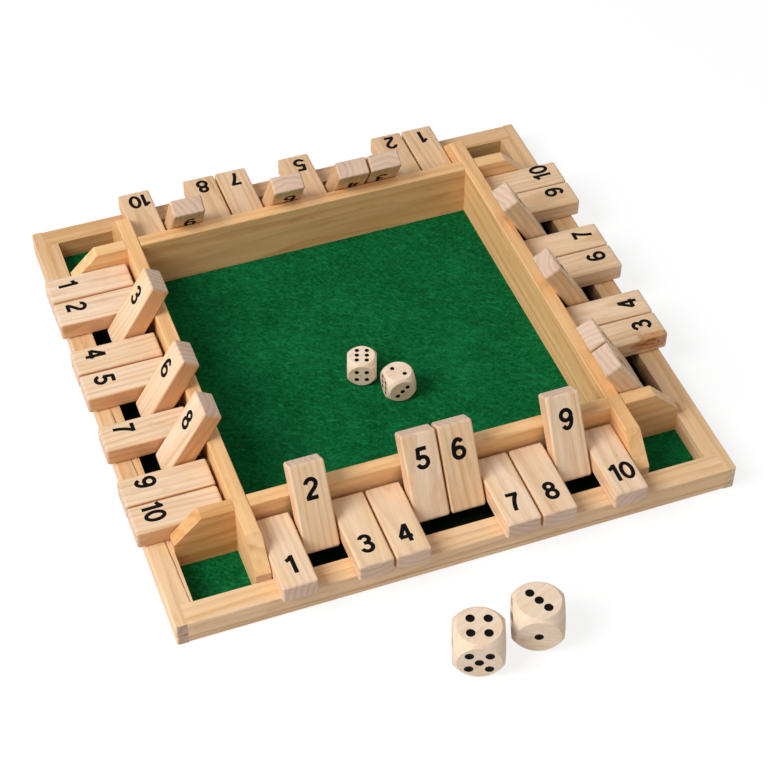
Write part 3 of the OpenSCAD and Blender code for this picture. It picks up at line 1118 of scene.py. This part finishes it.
@dataclass
class TileSet:
    """The forty number tiles, each a sanded block with a bore, and the numbers printed on both its faces.

    The fields from ease_range on say how far tiles and prints differ: the rounding as a share of ease, the most
    that a tile is shorter, the distance of the log's heart, how far the fibres run askew, the tone, and the turn
    and slip of a print.
    """

    pine: bpy.types.NodeTree
    numerals: Numerals = Numerals()
    length: float = 46.87 * MM
    width: float = 18.5 * MM
    thickness: float = 10.5 * MM
    rod_inset: float = 11 * MM
    bore: float = 3.15 * MM
    bore_rise: float = 1.2 * MM
    mouth: float = 0.35 * MM
    ease: Place = (1.6 * MM, 1.1 * MM, 0.95 * MM)
    steps: int = 4
    print_inset: float = 13.7 * MM
    ink_height: float = 0.02 * MM
    play_deg: float = 0.2
    least_round: float = 0.16
    evenness: float = 0.4
    side_stops: tuple[float, ...] = (0.45, 0.0, -0.45)
    face_stops: tuple[float, ...] = tuple(stop * MM for stop in (24, 14.5, 9.5, 6.2, 3.6, 1.2, -1.2, -3.6, -6.2))
    ease_range: tuple[float, float] = (0.95, 1.2)
    shorter: float = 0.3 * MM
    heart_range: tuple[float, float] = (9, 42)
    log_length: float = 9
    log_lean: float = 0.07
    tone_range: tuple[float, float] = (-0.12, 0.14)
    skew_deg: float = 1.5
    slip: float = 0.3 * MM
    finish: PineFinish = PineFinish("tile_pine", (0.92, 0.68, 0.46, 1), (0.66, 0.41, 0.21, 1),
                                    (0.78, 0.56, 0.42, 1), ring_depth=0.42, wander=5 * MM,
                                    knots=(Knot((0.1445, -0.0568, 0.0215), (0.0165, 0.0048, 0.0078)),))
    ink: InkFinish = InkFinish("number_ink")

    def outline(self) -> tuple[np.ndarray, np.ndarray]:
        """Side outline as signs and directions, counterclockwise in the plane of outwards and up.

        The top and the underside have points at the face stops, counted outwards from the rod, and the inner end
        at the side stops, in half heights, so that the faces round the bore stay even.

        Returns:
            (n, 2) shares of the way from the middle to the corner arcs' centres, and (n, 2) unit directions.
        """
        half = self.length / 2
        middle = half - self.rod_inset
        straight = half - self.ease[0]
        top = (np.array(self.face_stops) - middle) / straight
        turn = np.linspace(0, np.pi / 2, self.steps + 1)
        inner = np.column_stack([-np.ones(len(self.side_stops)), self.side_stops])
        shares, ways = [], []
        for quarter in range(4):
            way = np.column_stack([np.cos(turn + quarter * np.pi / 2), np.sin(turn + quarter * np.pi / 2)])
            corner = np.sign(way[self.steps // 2])
            shares.append(np.tile(corner, (self.steps + 1, 1)))
            ways.append(way)
            between = {0: np.column_stack([top, np.ones_like(top)]), 1: inner,
                       2: np.column_stack([top[::-1], -np.ones_like(top)]), 3: np.array([[1, 0]])}[quarter]
            shares.append(between)
            ways.append(np.tile(way[-1], (len(between), 1)))
        return np.concatenate(shares), np.concatenate(ways)

    def block(self, ease: np.ndarray, shorter: float) -> tuple[np.ndarray, ...]:
        """Rounded block with a bore across it, as one closed grid.

        Rings of the side outline run across the tile. At angle t of the rounding, an outline is drawn in by
        ease times (1 - cos t) and its place is ease times (1 - sin t) from the side. The side face then runs in
        to the mouth of the bore, which is chamfered, and the last ring joins the first through the bore.

        Args:
            ease: Rounding outwards, along the row and up.
            shorter: How much less than its full length the tile measures, taken from the outer end.

        Returns:
            (n, 3) points from the rod, (m, 4) faces, (n, 3) normals, and (n,) shares of end grain and of side face,
            where painted shade falls.
        """
        share, way = self.outline()
        half = np.array([self.length - shorter, self.width, self.thickness]) / 2
        middle = half[0] - self.rod_inset
        rings, normals, ends, flank_shades = [], [], [], []
        turns = np.radians(np.linspace(90, 0, self.steps + 1))
        for side in (-1, 1):
            for t in (turns if side < 0 else turns[::-1]):
                kept = max(math.cos(t), self.least_round)
                reach = half[[0, 2]] - ease[[0, 2]] * (1 - math.cos(t))
                flat = share * (reach - ease[[0, 2]] * kept) + way * ease[[0, 2]] * kept
                v = side * (half[1] - ease[1] * (1 - math.sin(t)))
                rings.append(np.column_stack([flat[:, 0] + middle, np.full(len(flat), v),
                                              flat[:, 1] - self.bore_rise]))
                lean = np.column_stack([way[:, 0] * math.cos(t) / ease[0],
                                        np.full(len(flat), side * math.sin(t) / ease[1]),
                                        way[:, 1] * math.cos(t) / ease[2]])
                normals.append(lean)
                ends.append(way[:, 0] ** 2 * math.cos(t) ** 2)
                flank_shades.append(np.full(len(flat), math.sin(t) ** 2))
        edge = rings[0]
        polar = np.unwrap(np.arctan2(edge[:, 2], edge[:, 0]))
        even = polar[0] + np.linspace(0, 2 * np.pi, len(polar), endpoint=False)
        turn = (1 - self.evenness) * polar + self.evenness * even
        round_way = np.column_stack([np.cos(turn), np.zeros_like(turn), np.sin(turn)])
        across = np.array([0.0, 1.0, 0.0])
        radius = self.bore / 2
        deep, wide = radius * round_way, (radius + self.mouth) * round_way
        rings = [deep - across * (half[1] - self.mouth), wide - across * half[1], *rings,
                 wide + across * half[1], deep + across * (half[1] - self.mouth)]
        flat_way = np.tile(across, (len(turn), 1))
        normals = [-round_way, -flat_way, *normals, flat_way, -round_way]
        nothing, whole = np.zeros(len(turn)), np.ones(len(turn))
        ends = [nothing, nothing, *ends, nothing, nothing]
        flank_shades = [whole, whole, *flank_shades, whole, whole]
        lean = np.concatenate(normals)
        return (np.concatenate(rings), ring_faces(len(rings), len(turn), closed_rows=True),
                lean / np.linalg.norm(lean, axis=1, keepdims=True), np.concatenate(ends), np.concatenate(flank_shades))

    def tile(self, place: TilePlace, rng: np.random.Generator, finish: bpy.types.Material) -> bpy.types.Object:
        """Makes one tile, cut from its own part of a log and a little askew on its rod.

        Args:
            place: Where it hangs.
            rng: Source of the differences between tiles.
            finish: The shared material.

        Returns:
            The piece.
        """
        row = ROWS[place.side]
        ease = np.array(self.ease) * rng.uniform(*self.ease_range, 3)
        yaw = math.radians(rng.uniform(-self.play_deg, self.play_deg))
        points, faces, normals, ends, flank_shades = self.block(ease, rng.uniform(0, self.shorter))
        heart = rng.uniform(*self.heart_range) * MM * np.array(self.toward(rng.uniform(0, 360)))
        lean = rng.uniform(-self.log_lean, self.log_lean, 2)
        log = np.column_stack([points[:, 0] + rng.uniform(0, self.log_length),
                               points[:, 1] + heart[0] + lean[0] * points[:, 0],
                               points[:, 2] + heart[1] + lean[1] * points[:, 0]])
        piece = add_piece(f"{place.name}_board", self.placed(points, yaw, place), faces,
                          self.placed(normals, yaw, place) - place.pivot)
        whole = np.ones(len(points))
        # The sides get painted shade, to the share given by the row.
        looks = {"grain": log, "end_face": ends, "flank": flank_shades * row.flank,
                 "tone": whole * (row.tone + rng.uniform(*self.tone_range)), "pale": whole * rng.uniform(*row.pale)}
        for label, values in looks.items():
            add_attribute(piece, label, values)
        piece.data.materials.append(finish)
        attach(piece, place.name)
        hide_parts(place.name)
        self.printed_number(place, yaw, rng)
        return piece

    @staticmethod
    def toward(degrees: float) -> tuple[float, float]:
        """Unit direction at an angle."""
        return math.cos(math.radians(degrees)), math.sin(math.radians(degrees))

    @staticmethod
    def placed(points: np.ndarray, yaw: float, place: TilePlace) -> np.ndarray:
        """Turns a tile's points about its upright axis through the rod, then carries them to the row's frame.

        Args:
            points: (n, 3) points outwards, along the row and up from the rod.
            yaw: The turn in radians.
            place: Where the tile hangs.

        Returns:
            (n, 3) points.
        """
        u = points[:, 0] * math.cos(yaw) - points[:, 1] * math.sin(yaw)
        v = points[:, 0] * math.sin(yaw) + points[:, 1] * math.cos(yaw)
        return place.to_row(u, v, points[:, 2])

    def printed_number(self, place: TilePlace, yaw: float, rng: np.random.Generator) -> bpy.types.Object:
        """Prints the number near the outer end of both faces.

        On the upper face the figure's top points to the rod, and on the underside, which shows when the tile is
        raised, to the outer end.

        Args:
            place: Where the tile hangs.
            yaw: How far it stands askew.
            rng: Source of the small errors of the print.

        Returns:
            The piece.
        """
        flat, faces = self.numerals.flat_shape(str(place.number))
        shell = slab(flat, faces)
        row = ROWS[place.side]
        upper = np.add(row.upper, MM * np.array(ASKEW_MM.get(place.name, (0.0, 0.0))))
        flat = flat * row.height
        centre = self.length - self.rod_inset - self.print_inset
        parts, shells, count = [], [], 0
        for side, (out, along) in ((1, upper), (-1, row.lower)):
            skew = math.radians(rng.uniform(-self.skew_deg, self.skew_deg))
            shift = rng.uniform(-self.slip, self.slip, 2)
            x = flat[:, 0] * math.cos(skew) - flat[:, 1] * math.sin(skew) + shift[0] + along
            y = flat[:, 0] * math.sin(skew) + flat[:, 1] * math.cos(skew) + shift[1]
            level = self.thickness / 2 - side * self.bore_rise
            for height in (level + self.ink_height, level - self.ink_height):
                parts.append(np.column_stack([centre + out - side * y, x, np.full_like(x, side * height)]))
            shells.append(shell + count)
            count += 2 * len(flat)
        piece = add_piece(f"{place.name}_number", self.placed(np.concatenate(parts), yaw, place),
                          np.concatenate(shells))
        piece.data.materials.append(self.ink.shared())
        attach(piece, place.name)
        return piece

    def build(self) -> None:
        """Makes all the tiles in the order of the record's hinges."""
        rng = np.random.default_rng(SEED)
        finish = self.finish.material(self.pine)
        for joint in frame["joints"]:
            if joint["type"] == "hinge":
                self.tile(TilePlace.from_joint(joint), rng, finish)


# ---------------------------------------------------------------------------------------------------------------
# Dice and rods


@dataclass(frozen=True)
class Die:
    """A wooden die of the CAD, with black paint in its pips.

    The values are those of the top, the front and the right face. Opposite faces add up to seven.
    """

    name: str
    side: float
    pip: float
    spread: float
    yaw_deg: float
    values: tuple[int, int, int]
    five_spread: float = 1.15
    six_spread: float = 1.35
    tool: float = 1.0
    paint: float = 0.05 * MM
    rings: int = 4
    segments: int = 24
    heart: Place = (0.02, 0.012, 0.02)
    heart_step: float = 0.01
    tilt_deg: tuple[float, float] = (24.0, 8.0)
    wood: PineFinish = PineFinish("die_wood", (0.94, 0.76, 0.60, 1), (0.70, 0.50, 0.34, 1), (0.84, 0.65, 0.50, 1),
                                  Lay.ALONG_X, ring_spacing=2.6 * MM, ring_depth=0.26, wander=3 * MM)
    ink: InkFinish = InkFinish("pip_paint", roughness=0.42)

    def pips(self, value: int) -> np.ndarray:
        """Places of a value's pips on a face, from its middle.

        Args:
            value: From 1 to 6.

        Returns:
            (n, 2) places in metres.
        """
        s = self.spread
        pair = np.array([[-s, -s], [s, s]])
        other = np.array([[-s, s], [s, -s]])
        middle = np.zeros((1, 2))
        return {1: middle, 2: pair, 3: np.concatenate([middle, pair]), 4: np.concatenate([pair, other]),
                5: np.concatenate([middle, self.five_spread * np.concatenate([pair, other])]),
                6: np.array([[x, y] for x in (-self.six_spread * s, 0, self.six_spread * s) for y in (-s, s)])}[value]

    def paint_cap(self) -> tuple[np.ndarray, np.ndarray]:
        """Paint in one hollow, about its middle: the tool's ball, a little higher above and lower below.

        The upper side is cut off at the face, so that no paint stands proud of it.

        Returns:
            (n, 3) points with the face at z = 0, and (m, 3) faces.
        """
        rim, ball = self.pip / 2, self.tool * self.pip
        out = np.linspace(1 / self.rings, 1, self.rings)
        turn = np.linspace(0, 2 * np.pi, self.segments, endpoint=False)
        r = rim * out[:, None]
        depth = math.sqrt(ball ** 2 - rim ** 2) - np.sqrt(ball ** 2 - r ** 2)
        disc = np.stack(np.broadcast_arrays(r * np.cos(turn), r * np.sin(turn), depth), axis=-1).reshape(-1, 3)
        disc = np.concatenate([[[0, 0, math.sqrt(ball ** 2 - rim ** 2) - ball]], disc])
        ringed = ring_faces(self.rings, self.segments) + 1
        j = np.arange(self.segments)
        fan = np.stack([np.zeros_like(j), j + 1, (j + 1) % self.segments + 1], axis=1)
        faces = np.concatenate([fan, ringed[:, [0, 3, 2]], ringed[:, [0, 2, 1]]])
        lift = np.array([0, 0, self.paint])
        return np.concatenate([np.minimum(disc + lift, (1, 1, 0)), disc - lift]), slab(disc, faces)

    def dress(self, pine: bpy.types.NodeTree, number: int) -> None:
        """Gives the die its wood and paints its pips.

        Args:
            pine: The shared grain group.
            number: Which die this is, for the part of the log that it comes from.
        """
        low, high = (np.array(corner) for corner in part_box(self.name))
        centre = (low + high) / 2
        x, y, z = self.heart
        heart = (float(x - centre[0]), float(y + self.heart_step * number - centre[1]), z)
        wood = replace(self.wood, name=f"{self.wood.name}_{self.name}", heart=heart,
                       tilt_deg=(*self.tilt_deg, self.yaw_deg))
        dress(self.name, wood.material(pine))
        cap, cap_faces = self.paint_cap()
        points, faces, count = [], [], 0
        top, front, right = self.values
        worth = {Face.TOP: top, Face.BOTTOM: 7 - top, Face.FRONT: front, Face.BACK: 7 - front,
                 Face.RIGHT: right, Face.LEFT: 7 - right}
        yaw = Matrix.Rotation(math.radians(self.yaw_deg), 3, "Z")
        for face, value in worth.items():
            turn = Matrix.Identity(3)
            for degrees, axis in zip(face.value, "XYZ"):
                turn = Matrix.Rotation(math.radians(degrees), 3, axis) @ turn
            carry = np.array(yaw @ turn)
            for x, y in self.pips(value):
                points.append((cap + (x, y, self.side / 2)) @ carry.T + centre)
                faces.append(cap_faces + count)
                count += len(cap)
        piece = add_piece(f"{self.name}_pips", np.concatenate(points), np.concatenate(faces))
        piece.data.materials.append(self.ink.shared())
        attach(piece, self.name)


DICE = (
    Die("tray_die_left", 16 * MM, 2.5 * MM, 2.7 * MM, -20, (6, 4, 5)),
    Die("tray_die_right", 16 * MM, 2.5 * MM, 2.7 * MM, -3, (2, 3, 1)),
    Die("large_die_left", 25 * MM, 4.6 * MM, 4.3 * MM, -20, (4, 5, 6)),
    Die("large_die_right", 25 * MM, 4.6 * MM, 4.3 * MM, -20, (3, 1, 2)))


RODS = {"front_rod": Lay.ALONG_X, "rear_rod": Lay.ALONG_X, "left_rod": Lay.ALONG_Y, "right_rod": Lay.ALONG_Y}


@dataclass(frozen=True)
class RodSet:
    """The four hinge rods of the CAD, with fine lines along each."""

    finish: SteelFinish = SteelFinish("rod_steel", Lay.ALONG_X)

    def dress_all(self) -> None:
        """Gives each rod its steel."""
        for name, lay in RODS.items():
            dress(name, replace(self.finish, name=f"{self.finish.name}_{lay.value}", lay=lay).material())


# ---------------------------------------------------------------------------------------------------------------
# Studio


@dataclass(frozen=True)
class Studio:
    """White floor and background, soft light from the upper left, and the camera.

    The key is the lamp's place, its power in watts and its side. The floor's paint varies between two greys, and
    its glow is what falls on the object and what is added where the floor itself is seen.
    """

    azimuth_deg: float = -20.41
    elevation_deg: float = 45.95
    roll_deg: float = 0.35
    target: Place = (0.00447, -0.01898, 0.0)
    distance: float = 1.0826
    focal_pixels: float = 1985.9
    image_pixels: float = 768.0
    room_light: float = 0.40
    key: tuple[Place, float, float] = ((-1.43, -0.24, 1.38), 33.5, 1.1)
    floor_reach: float = 3.0
    floor_drop: float = 0.05 * MM
    paint: tuple[Colour, Colour] = ((0.26, 0.26, 0.26, 1), (0.24, 0.24, 0.24, 1))
    mottle: float = 3.0
    glow: tuple[float, float] = (0.42, 0.38)

    def camera(self) -> None:
        """Looks at the target from the azimuth and elevation, with a small roll."""
        a, e, r = (math.radians(v) for v in (self.azimuth_deg, self.elevation_deg, self.roll_deg))
        back = Vector((math.sin(a) * math.cos(e), -math.cos(a) * math.cos(e), math.sin(e)))
        right = Vector((math.cos(a), math.sin(a), 0))
        up = back.cross(right)
        turned = (right * math.cos(r) + up * math.sin(r), up * math.cos(r) - right * math.sin(r), back)
        place = Matrix(turned).transposed().to_4x4()
        place.translation = Vector(self.target) + back * self.distance
        data = bpy.data.cameras.new("camera")
        data.lens = self.focal_pixels / self.image_pixels * data.sensor_width
        camera = bpy.data.objects.new("camera", data)
        camera.matrix_world = place
        bpy.context.scene.collection.objects.link(camera)
        bpy.context.scene.camera = camera

    def lamp(self, name: str, place: Place, power: float, side: float) -> None:
        """Adds a square soft light that faces the middle of the object.

        Args:
            name: The lamp's name.
            place: Where it hangs.
            power: Strength in watts.
            side: Length of its sides, in metres.
        """
        data = bpy.data.lights.new(name, "AREA")
        data.energy, data.size = power, side
        lamp = bpy.data.objects.new(name, data)
        lamp.location = place
        lamp.rotation_euler = Vector(place).to_track_quat("Z", "Y").to_euler()
        bpy.context.scene.collection.objects.link(lamp)

    @staticmethod
    def seen_directly(n: NodeBench) -> bpy.types.NodeSocket:
        """1 for rays from the camera, a mirror or glass, and 0 for light that falls on the object.

        Args:
            n: The tree's bench.

        Returns:
            The value.
        """
        path = n.add("ShaderNodeLightPath").outputs
        seen = n.math("MAXIMUM", path["Is Camera Ray"], path["Is Glossy Ray"])
        return n.math("MAXIMUM", seen, path["Is Transmission Ray"])

    def world(self) -> None:
        """White where it is seen, and the room's plain light on the object."""
        world = bpy.data.worlds.new("studio")
        world.use_nodes = True
        bpy.context.scene.world = world
        n = NodeBench(world.node_tree)
        n.tree.nodes.clear()
        room, seen = (n.add("ShaderNodeBackground", {"Color": (1, 1, 1, 1), "Strength": strength}).outputs[0]
                      for strength in (self.room_light, 1.0))
        both = n.add("ShaderNodeMixShader", {0: self.seen_directly(n), 1: room, 2: seen})
        n.add("ShaderNodeOutputWorld", {"Surface": both.outputs[0]})

    def floor(self) -> None:
        """A white table top that keeps the object's soft shadow: plain paint, and a share of its own white."""
        corners = np.array([[-1, -1, 0], [1, -1, 0], [1, 1, 0], [-1, 1, 0]]) * self.floor_reach
        corners = corners - (0, 0, self.floor_drop)
        mesh = bpy.data.meshes.new("floor")
        mesh.from_pydata(corners.tolist(), [], [(0, 1, 2, 3)])
        floor = bpy.data.objects.new("floor", mesh)
        bpy.context.scene.collection.objects.link(floor)
        made, n, shader = open_material("floor_white")
        n.feed(shader.inputs["Base Color"], n.mix(n.noise(n.place(), self.mottle), *self.paint))
        shader.inputs["Roughness"].default_value = 1.0
        shader.inputs["Specular IOR Level"].default_value = 0.0
        shader.inputs["Emission Color"].default_value = (1, 1, 1, 1)
        always, seen = self.glow
        n.feed(shader.inputs["Emission Strength"], n.weighted(always, (self.seen_directly(n), seen)))
        floor.data.materials.append(made)

    def build(self) -> None:
        """Sets the camera, the lamps, the world and the floor."""
        bpy.context.scene.view_settings.view_transform = "Standard"
        self.camera()
        self.lamp("key", *self.key)
        self.world()
        self.floor()


def main() -> None:
    """Builds the scene: boards, felt, tiles, dice, rods and studio."""
    logging.basicConfig(level=logging.INFO, format="%(name)s: %(message)s")
    pine, felt = PineGrain().group(), FeltNap().group()
    BoardWork(pine).dress_all()
    FeltFloor(felt).build()
    TileSet(pine).build()
    for number, die in enumerate(DICE):
        die.dress(pine, number)
    RodSet().dress_all()
    Studio().build()


if __name__ == "__main__":
    main()
